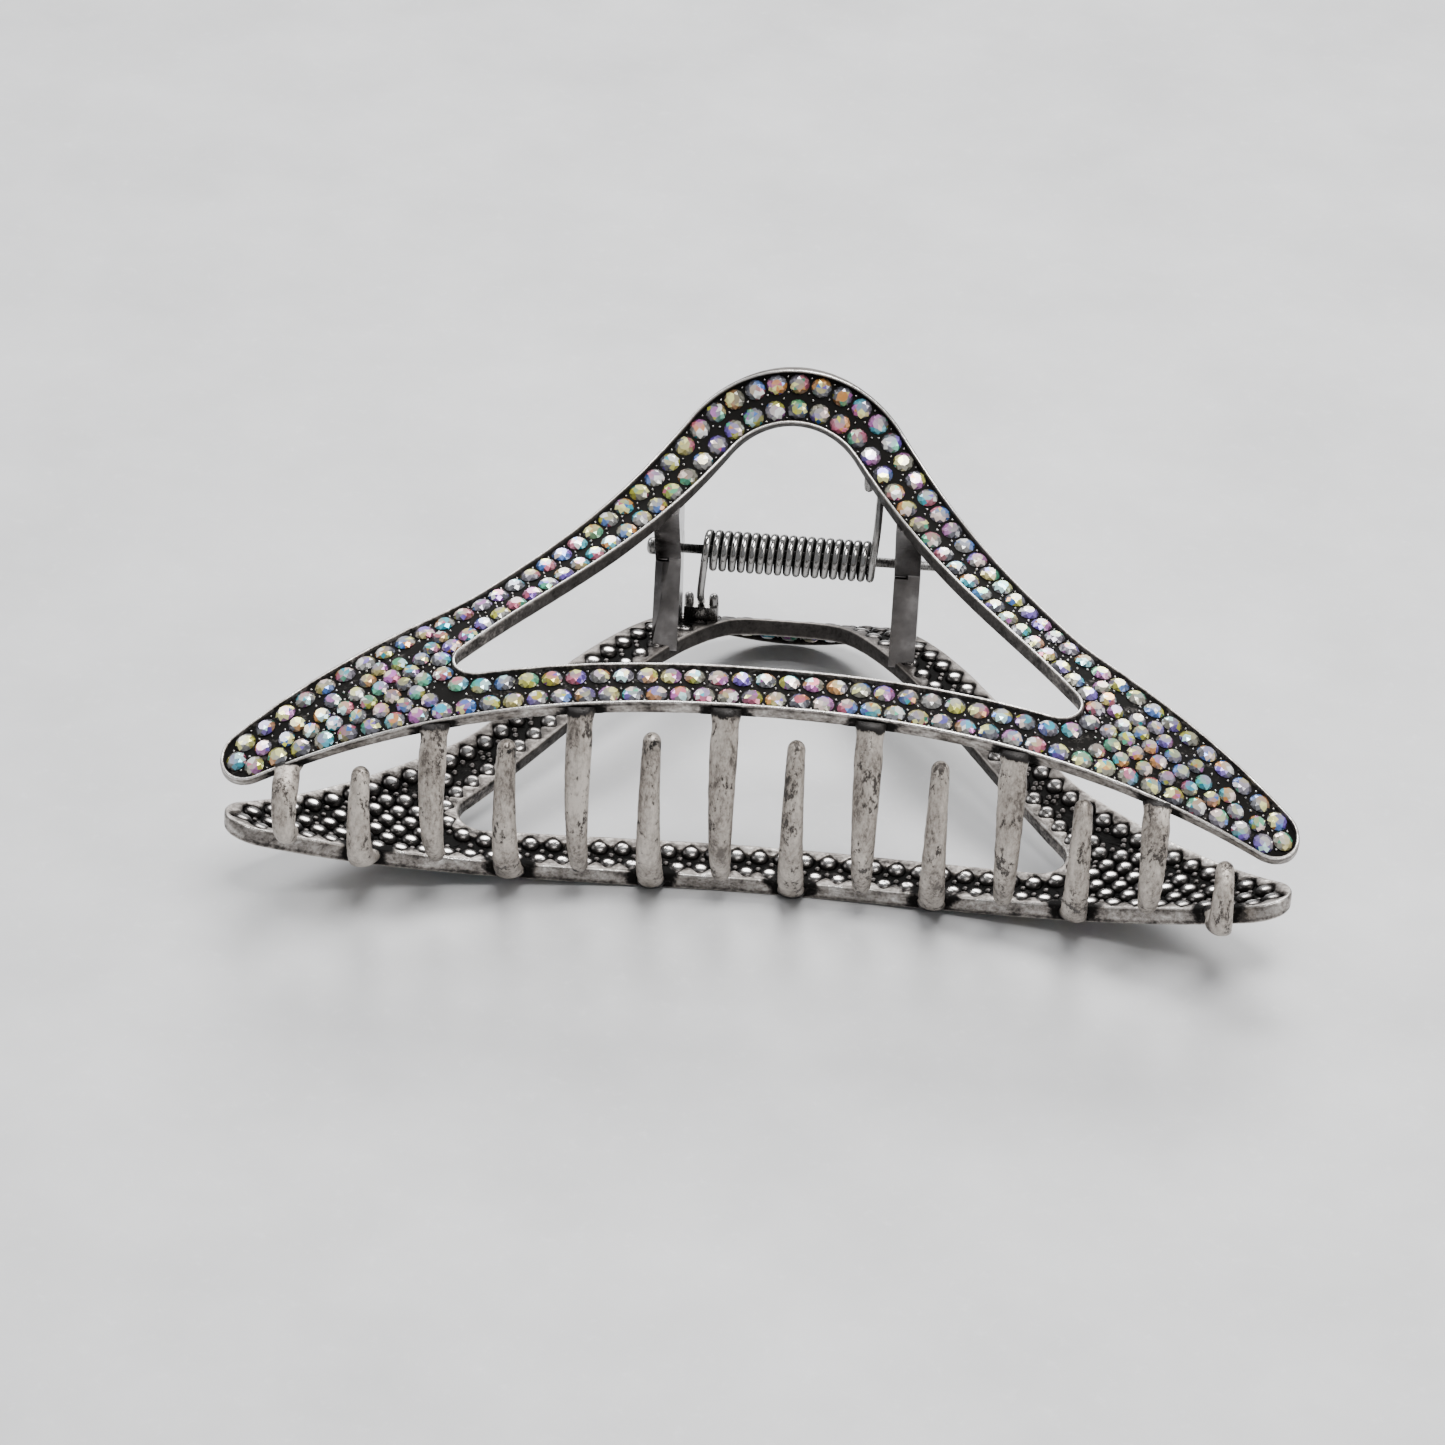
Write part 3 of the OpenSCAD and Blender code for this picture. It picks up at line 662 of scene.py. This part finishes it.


# Colours that the coated glass returns: greys of the clear parts and the tints of the coating, with painted
# reflections on the tables, painted glints, and painted light and shade for each kind of facet
PALE = [(0.30, 0.30, 0.33), (0.46, 0.45, 0.43), (0.22, 0.22, 0.26), (0.52, 0.50, 0.40), (0.36, 0.33, 0.40)]
TABLE_REFLECTIONS = [(0.54, 0.51, 0.36), (0.42, 0.41, 0.39), (0.62, 0.62, 0.34), (0.46, 0.41, 0.58), (0.70, 0.68, 0.60)]
TINTS = [(0.80, 0.80, 0.10), (0.92, 0.80, 0.26), (0.90, 0.20, 0.34), (0.95, 0.42, 0.12), (0.30, 0.18, 0.86),
         (0.10, 0.30, 0.92), (0.06, 0.66, 0.84), (0.14, 0.74, 0.44), (0.78, 0.24, 0.76)]
PAINTED_GLINTS = [(1.0, 1.0, 0.96), (1.0, 0.98, 0.40), (0.65, 1.0, 1.0), (1.0, 0.80, 0.72)]
FACET_LIGHT_AND_SHADE = {"table": 0.92, "star": 0.9, "kite": 0.8, "edge": 0.36, "wall": 0.05}


def stone_shape(d):
    """Points (radius, turn in sixteenths, height) and facets of one flat-backed stone of sixteen sides."""
    r, rt = d / 2, TABLE_D / 2
    z0, zt = GIRDLE_H, GIRDLE_H + CROWN_H
    rm = rt + (r - rt) * 0.55
    zm = z0 + CROWN_H * 0.62
    pts = [(0, 0, zt)]
    pts += [(rt, 2 * i, zt) for i in range(8)]
    pts += [(rm, 2 * i + 1, zm) for i in range(8)]
    pts += [(r, i, z0) for i in range(16)]
    pts += [(r, i, -STONE_SET) for i in range(16)]
    table, mid, girdle, foot = 1, 9, 17, 33
    facets = []
    for i in range(8):
        j = (i + 1) % 8
        facets.append(("table", i + 0.5, (0, table + i, table + j)))
        facets.append(("star", i + 0.5, (table + i, mid + i, table + j)))
        facets.append(("kite", i, (table + i, mid + (i - 1) % 8, girdle + 2 * i, mid + i)))
        facets.append(("edge", i + 0.25, (mid + i, girdle + 2 * i, girdle + 2 * i + 1)))
        facets.append(("edge", i + 0.75, (mid + i, girdle + 2 * i + 1, girdle + (2 * i + 2) % 16)))
    for i in range(16):
        j = (i + 1) % 16
        facets.append(("wall", i / 2, (girdle + i, foot + i, foot + j, girdle + j)))
    facets.append(("wall", 0, tuple(foot + i for i in range(16))[::-1]))
    return pts, facets


def stone_colours(rng, facets):
    """One stone's facet colours: a quiet top that is a painted reflection, a tinted crescent on one side, a
    painted glint, and edges painted dark as shade.
    """
    # The top's colour is a painted reflection of the lamps, now and then a tint.
    top = rng.choice(TINTS) if rng.random() < 0.22 else rng.choice(TABLE_REFLECTIONS)
    a, b, c0 = rng.choice(TINTS), rng.choice(TINTS), rng.choice(PALE)
    crescent = rng.uniform(0, 8)
    wide = rng.uniform(1.2, 3.0)
    glint, glint_at, glint_wide = rng.choice(PAINTED_GLINTS), rng.uniform(0, 8), rng.uniform(0.1, 1.4)
    glow = rng.uniform(0.65, 1.15)
    out = []
    for kind, at, _ in facets:
        off = (at - crescent + 4) % 8 - 4
        if kind == "table":
            mixed = 0.12 + 0.3 * (abs(off) < wide * 0.7)
            c = [top[i] * (1 - mixed) + a[i] * mixed for i in range(3)]
        elif abs(off) < wide:
            soft = 0.35 * abs(off) / wide
            c = [(a if off < 0 else b)[i] * (1 - soft) + top[i] * soft for i in range(3)]
        else:
            c = c0
        if rng.random() < 0.06:
            c = rng.choice(TINTS)
        # Painted light and shade: each kind of facet is brightened or darkened as if lit from above, and the
        # walls in the setting are nearly black.
        k = FACET_LIGHT_AND_SHADE[kind] * glow * (rng.uniform(0.88, 1.05) if kind == "table" else rng.uniform(0.45, 1.15))
        # Painted glint: a near-white patch on the top facets on one side of the stone.
        away = abs((at - glint_at + 4) % 8 - 4)
        if kind in ("table", "star", "kite") and away < glint_wide:
            c, k = glint, FACET_LIGHT_AND_SHADE[kind] * 1.1
        out.append(tuple(min(1.0, v * k) for v in c) + (1.0,))
    return out


def stones(jaw, group, seed):
    """Every stone of one group, each turned and tilted a little differently and with its own colours."""
    rng = random.Random(seed)
    pts, facets = stone_shape(FILL_D if "wing" in group else STONE_D)
    points, faces, colours = [], [], []
    for p in SITES[group]:
        o, ex, ey, en = facing_frame(p, JAWS[jaw])
        turn = rng.uniform(0, 2 * math.pi)
        tilt = np.array([rng.gauss(0, 0.03), rng.gauss(0, 0.03)])
        base = len(points)
        for r, sixteenth, z in pts:
            a = turn + sixteenth * math.pi / 8
            x, y = r * math.cos(a), r * math.sin(a)
            z = z + (x * tilt[0] + y * tilt[1] if z > 0 else 0)
            points.append(o + 0.001 * (x * ex + y * ey + z * en))
        faces += [tuple(base + i for i in f) for _, _, f in facets]
        colours += stone_colours(rng, facets)
    piece = mesh_piece(jaw + "_crystals_" + group, points, faces, jaw + "_jaw", CRYSTAL, smooth=False)
    layer = piece.data.attributes.new("facet_colour_and_light", "FLOAT_COLOR", "FACE")
    layer.data.foreach_set("color", np.array(colours, np.float32).reshape(-1))
    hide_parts("%s_stones_%s" % (jaw, group))


def dome_mesh(sites, r, h, rings, sides, depth, inward, jaw, flat=0.0):
    """Points and faces of domes on the casting, standing at flat points, and for each point how near it
    is to the dome's middle. flat is how much of the radius is a flat top."""
    points, faces, tops = [], [], []
    for p in sites:
        o, ex, ey, en = facing_frame(p, JAWS[jaw])
        o = o - en * 0.001 * (depth - TRAY)
        up = -en if inward else en
        base = len(points)
        profile = [((flat + (1 - flat) * math.sin(math.pi / 2 * i / rings)) * r,
                    h * math.cos(math.pi / 2 * i / rings)) for i in range(0 if flat else 1, rings + 1)]
        profile.append((r, -0.1))
        points.append(o + 0.001 * h * up)
        tops += [1.0] + [1 - rr / r for rr, _ in profile for _ in range(sides)]
        for rr, hh in profile:
            for j in range(sides):
                b = 2 * math.pi * j / sides
                points.append(o + 0.001 * (rr * (math.cos(b) * ex + math.sin(b) * ey) + hh * up))
        last = base + 1 + (len(profile) - 1) * sides
        for j in range(sides):
            k = (j + 1) % sides
            faces.append((base, base + 1 + j, base + 1 + k))
            for a in range(base + 1, last, sides):
                faces.append((a + j, a + sides + j, a + sides + k, a + k))
        faces.append(tuple(last + j for j in range(sides))[::-1])
    return points, outward_faces(points, faces), tops


def bead_sites():
    """Flat points between stones where the casting's little beads show."""
    found = []

    def clear(q):
        return (np.min(np.linalg.norm(ALL_SITES - q, axis=1)) > STONE_D / 2 + 0.12
                and all(np.linalg.norm(q - f) > 0.6 for f in found))

    for p in ALL_SITES:
        d = np.linalg.norm(ALL_SITES - p, axis=1)
        for q in ALL_SITES[(d > 0.01) & (d < STONE_PITCH * 1.35)]:
            mid, run = (p + q) / 2, (q - p) / np.linalg.norm(q - p)
            for sign in (-1, 1):
                b = mid + sign * 0.78 * np.array([-run[1], run[0]])
                if clear(b):
                    found.append(b)
    return found


BEADS = bead_sites()


# Radius and height of a bead, of a dome behind a stone, and of the land between domes
BEAD_SIZE = (0.17, 0.2)
DOME_SIZE = (0.98, 0.46)
LAND_SIZE = (0.34, BACK_DEPTH - 0.22)


def beads(jaw):
    """The casting's little beads between the stones."""
    points, faces, _ = dome_mesh(BEADS, *BEAD_SIZE, 3, 8, TRAY, False, jaw)
    piece = mesh_piece(jaw + "_beads", points, faces, jaw + "_jaw", BEAD)


def back_bumps(jaw):
    """The rounded bump behind each stone in the hollow back, and the little lands between them."""
    floor_at = CAST_T - BACK_DEPTH
    points, faces, tops = dome_mesh(ALL_SITES, *DOME_SIZE, 8, 20, floor_at, True, jaw, flat=0.12)
    piece = mesh_piece(jaw + "_back_bumps", points, faces, jaw + "_jaw", DOME, attrs={"top": tops})
    points, faces, _ = dome_mesh(BEADS, *LAND_SIZE, 3, 9, floor_at, True, jaw, flat=0.5)
    piece = mesh_piece(jaw + "_back_lands", points, faces, jaw + "_jaw", LAND)


# ---------------------------------------------------------------- teeth


def tooth(jaw, k):
    """A cast tooth: thick collar where it leaves the bar, a bowed taper and a rounded tip."""
    rng = random.Random(100 * JAWS[jaw] + k)
    x = tooth_x(k)
    root = curled(bar_edge(x, 0), CAST_T / 2)[0]
    far = curled(bar_edge(x, BACK_RIM / 2), CAST_T)[0]
    tip = np.array([x, far[1] - TOOTH_DROP, -far[2] + TOOTH_GAP + TIP_D / 2])
    chord = np.linalg.norm(root - tip)
    r = chord * chord / (8 * BOW) + BOW / 2
    half_turn = math.asin(chord / (2 * r))
    base = math.atan2(root[1] - tip[1], root[2] - tip[2])
    centre = (root + tip) / 2 + (r - BOW) * np.array([0, math.cos(base), -math.sin(base)])
    extra = ROOT_IN / r
    n, sides = 30, 20
    points, darkening = [], []
    root_t = CAST_T - 2 * ROOT_INSET

    tilt = -x / math.sqrt(ARCH_R ** 2 - x * x)

    def ring(a, wide, thick, shift, black, t):
        mid = np.array([x, centre[1] - r * math.cos(a + base), centre[2] + r * math.sin(a + base)])
        way = np.array([0, -math.sin(a - base), -math.cos(a - base)])
        up = np.array([0, -math.cos(a - base), math.sin(a - base)])
        for j in range(sides):
            b = 2 * math.pi * j / sides
            spot = Vector((3 * math.cos(b) + k, 3 * math.sin(b) + 7 * JAWS[jaw], t * 14))
            rough = 1 + 0.045 * noise.noise(spot)
            dx = rough * wide / 2 * math.sin(b)
            points.append(mid + shift * way + np.array([dx, dx * tilt * (1 - t), 0])
                          + rough * thick / 2 * math.cos(b) * up)
            darkening.append(black)

    slim, tip_darkening = rng.uniform(0.92, 1.0), rng.choice([0.1, 0.3, 0.45])
    for i in range(n + 1):
        t = i / n
        a = half_turn + extra - (2 * half_turn + extra) * t
        collar = math.exp(-(t / 0.055) ** 2)
        wide = (ROOT_W + (TIP_D - ROOT_W) * t ** 1.25) * slim
        wide -= ROOT_W * 0.10 * math.exp(-((t - 0.08) / 0.05) ** 2)
        wide += ROOT_W * 0.08 * collar
        thick = root_t + (TIP_D * 0.96 - root_t) * t + 0.1 * collar
        # Near black at the root and, on some teeth, towards the tip.
        black = float(1 - smooth_step(0.0, 0.07, t))
        black = max(black, float(smooth_step(0.9, 1.0, t)) * tip_darkening)
        ring(a, wide, thick, 0, black, t)
    for turn in (18, 36, 54, 70, 82):
        c, s = math.cos(math.radians(turn)), math.sin(math.radians(turn))
        ring(-half_turn, TIP_D * slim * c, TIP_D * 0.96 * c, TIP_D / 2 * s, 0.25, 1)
    faces = outward_faces(points, tube_faces(n + 6, sides))
    piece = mesh_piece("%s_prong_%d" % (jaw, k + 1), laid(points, JAWS[jaw]), faces, jaw + "_jaw", TOOTH,
                       attrs={"darkening": darkening})
    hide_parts("%s_tooth_%d" % (jaw, k + 1))


# ---------------------------------------------------------------- hinge and spring


def bevelled(node, width_mm, mat):
    """A CAD node whose shape is right, with its edges softened and a better material."""
    o = frame["nodes"][node]
    o.data.materials.clear()
    o.data.materials.append(mat)
    weld = o.modifiers.new("weld", "WELD")
    weld.merge_threshold = 1e-6
    mod = o.modifiers.new("soft_edges", "BEVEL")
    mod.width = width_mm * 0.001
    mod.segments = 3
    mod.limit_method = "ANGLE"
    mod.angle_limit = math.radians(35)
    mod.use_clamp_overlap = True


def lathe(name, profile, body, mat, sides=28):
    """Round piece about the hinge axis from (x, radius) pairs in mm."""
    points = [np.array([x, r * math.cos(2 * math.pi * j / sides), r * math.sin(2 * math.pi * j / sides)])
              for x, r in profile for j in range(sides)]
    faces = outward_faces(points, tube_faces(len(profile), sides))
    return mesh_piece(name, laid(points, 1), faces, body, mat)


def pin():
    """Headed pin with a softened end."""
    out = LUG_X + LUG_W / 2
    x0 = -out - KNUCKLE_GAP / 2
    r, hr = PIN_D / 2, HEAD_D / 2
    end = out + TAIL
    profile = [(x0 - HEAD_LEN, 0.02), (x0 - HEAD_LEN + 0.02, hr * 0.45), (x0 - HEAD_LEN + 0.12, hr * 0.78),
               (x0 - HEAD_LEN + 0.32, hr * 0.96), (x0 - HEAD_LEN + 0.5, hr), (x0 - 0.08, hr), (x0, hr * 0.95),
               (x0, r), (end - 0.18, r), (end - 0.05, r * 0.86), (end, r * 0.6), (end, 0.02)]
    piece = lathe("pin_with_head", profile, "back_jaw", STEEL)
    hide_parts("hinge_pin")


def smooth_path(knots, n):
    """Catmull-Rom curve through the knots."""
    k = [2 * knots[0] - knots[1]] + list(knots) + [2 * knots[-1] - knots[-2]]
    out = []
    for i in range(1, len(k) - 2):
        for j in range(n):
            t = j / n
            a, b, c, d = k[i - 1], k[i], k[i + 1], k[i + 2]
            out.append(0.5 * (2 * b + (c - a) * t + (2 * a - 5 * b + 4 * c - d) * t * t
                              + (3 * b - a - 3 * c + d) * t ** 3))
    out.append(k[-2])
    return out


def spring():
    """Round wire: a leg to each catch and the coil between them, turn by turn."""
    r = (COIL_D - WIRE_D) / 2
    turns = round(COIL_LEN / COIL_PITCH)
    run = COIL_LEN - WIRE_D
    low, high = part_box("front_spring_catch")
    catch_x = (low.x + high.x) / 2 * 1000
    seat = curled([catch_x, CATCH_RISE], CAST_T - BACK_DEPTH)[0]
    end = np.array([catch_x, seat[1], seat[2] - CATCH_FOOT - LEG_GAP])
    per = 24
    coil = []
    for i in range(turns * per + 1):
        a = math.pi - 2 * math.pi * i / per
        coil.append(np.array([run * (i / (turns * per) - 0.5), r * math.cos(a), r * math.sin(a)]))
    lift = [np.array([run / 2 + 0.07, -r, r * 0.55]), np.array([run / 2 + 0.16, -r * 0.93, r * 1.15]),
            np.array([catch_x - 0.1, -r * 0.5, end[2] * 0.6]), end]
    leg_high = smooth_path([coil[-1]] + lift, 8)[1:]
    leg_low = [p * [-1, 1, -1] for p in leg_high][::-1]
    path = np.array(leg_low + coil + leg_high)
    sides = 14
    points, painted_shade = [], []
    for i, p in enumerate(path):
        t = path[min(i + 1, len(path) - 1)] - path[max(i - 1, 0)]
        t /= np.linalg.norm(t)
        u = np.cross(t, [1.0, 0, 0])
        u /= np.linalg.norm(u)
        w = np.cross(u, t)
        on_coil = len(leg_low) <= i < len(leg_low) + len(coil)
        for j in range(sides):
            b = 2 * math.pi * j / sides
            points.append(p + WIRE_D / 2 * (math.cos(b) * u + math.sin(b) * w))
            # Painted shade: the wire is made near black and matt on the sides of each turn that face the next
            # turn and on the coil's inside, and a little darker on the legs.
            normal = math.cos(b) * u + math.sin(b) * w
            outward = (normal[1] * p[1] + normal[2] * p[2]) / r
            side = smooth_step(0.50, 0.80, abs(normal[0]))
            painted_shade.append(float(max(side, 1 - smooth_step(0.0, 0.4, outward))) if on_coil else 0.12)
    faces = outward_faces(points, tube_faces(len(path), sides))
    piece = mesh_piece("torsion_spring", laid(points, 1), faces, None, NICKEL, attrs={"painted_shade": painted_shade})
    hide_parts("spring")
    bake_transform(piece)


# ---------------------------------------------------------------- make the pieces

for seed, jaw in enumerate(JAWS):
    casting(jaw)
    beads(jaw)
    back_bumps(jaw)
    for n, group in enumerate(SITES):
        stones(jaw, group, 11 + 10 * seed + n)
    for k in range(TEETH):
        tooth(jaw, k)
    for part in ("lug_left", "lug_right", "spring_catch"):
        bevelled("%s_%s" % (jaw, part), 0.5 if "lug" in part else 0.3, GUN if "lug" in part else STEEL)
pin()
spring()

# ---------------------------------------------------------------- floor, light and camera

floor_mesh = bpy.data.meshes.new("floor")
floor_mesh.from_pydata([(-2, -2, 0), (2, -2, 0), (2, 2, 0), (-2, 2, 0)], [], [(0, 1, 2, 3)])
floor_mesh.materials.append(stone_floor())
floor = bpy.data.objects.new("floor", floor_mesh)
bpy.context.scene.collection.objects.link(floor)

world = bpy.data.worlds.new("studio")
bpy.context.scene.world = world
world.use_nodes = True
world.node_tree.nodes["Background"].inputs["Color"].default_value = (0.80, 0.82, 0.85, 1)
world.node_tree.nodes["Background"].inputs["Strength"].default_value = 0.42


def area(name, place, aim, size, power, shade=(1, 1, 1)):
    data = bpy.data.lights.new(name, "AREA")
    data.shape = "RECTANGLE"
    data.size, data.size_y = size
    data.energy = power
    data.color = shade
    lamp = bpy.data.objects.new(name, data)
    lamp.location = place
    lamp.rotation_euler = (Vector(aim) - Vector(place)).to_track_quat("-Z", "Y").to_euler()
    bpy.context.scene.collection.objects.link(lamp)


middle = (0, 0, 0.015)
area("ceiling", (0.10, -0.10, 0.75), middle, (0.42, 0.30), 8.0)
area("window", (-0.55, 0.25, 0.55), middle, (0.3, 0.3), 2.6, (0.95, 0.97, 1.0))
area("fill", (0.6, -0.25, 0.40), middle, (0.3, 0.3), 1.6, (1.0, 0.98, 0.95))
area("skylight", (0.02, 0.62, 0.50), middle, (0.50, 0.30), 5.5)

cam = bpy.data.cameras.new("camera")
cam.sensor_width = 36
cam.lens = 119.9
cam.clip_start = 0.01
camera = bpy.data.objects.new("camera", cam)
right = Vector((0.99584, 0.08492, 0.03306)).normalized()
ahead = Vector((-0.05106, 0.82045, -0.56943)).normalized()
up = right.cross(ahead).normalized()
right = ahead.cross(up).normalized()
turned = Matrix((right, up, -ahead)).transposed().to_4x4()
camera.matrix_world = Matrix.Translation((0.01992, -0.40200, 0.28760)) @ turned
bpy.context.scene.collection.objects.link(camera)
bpy.context.scene.camera = camera
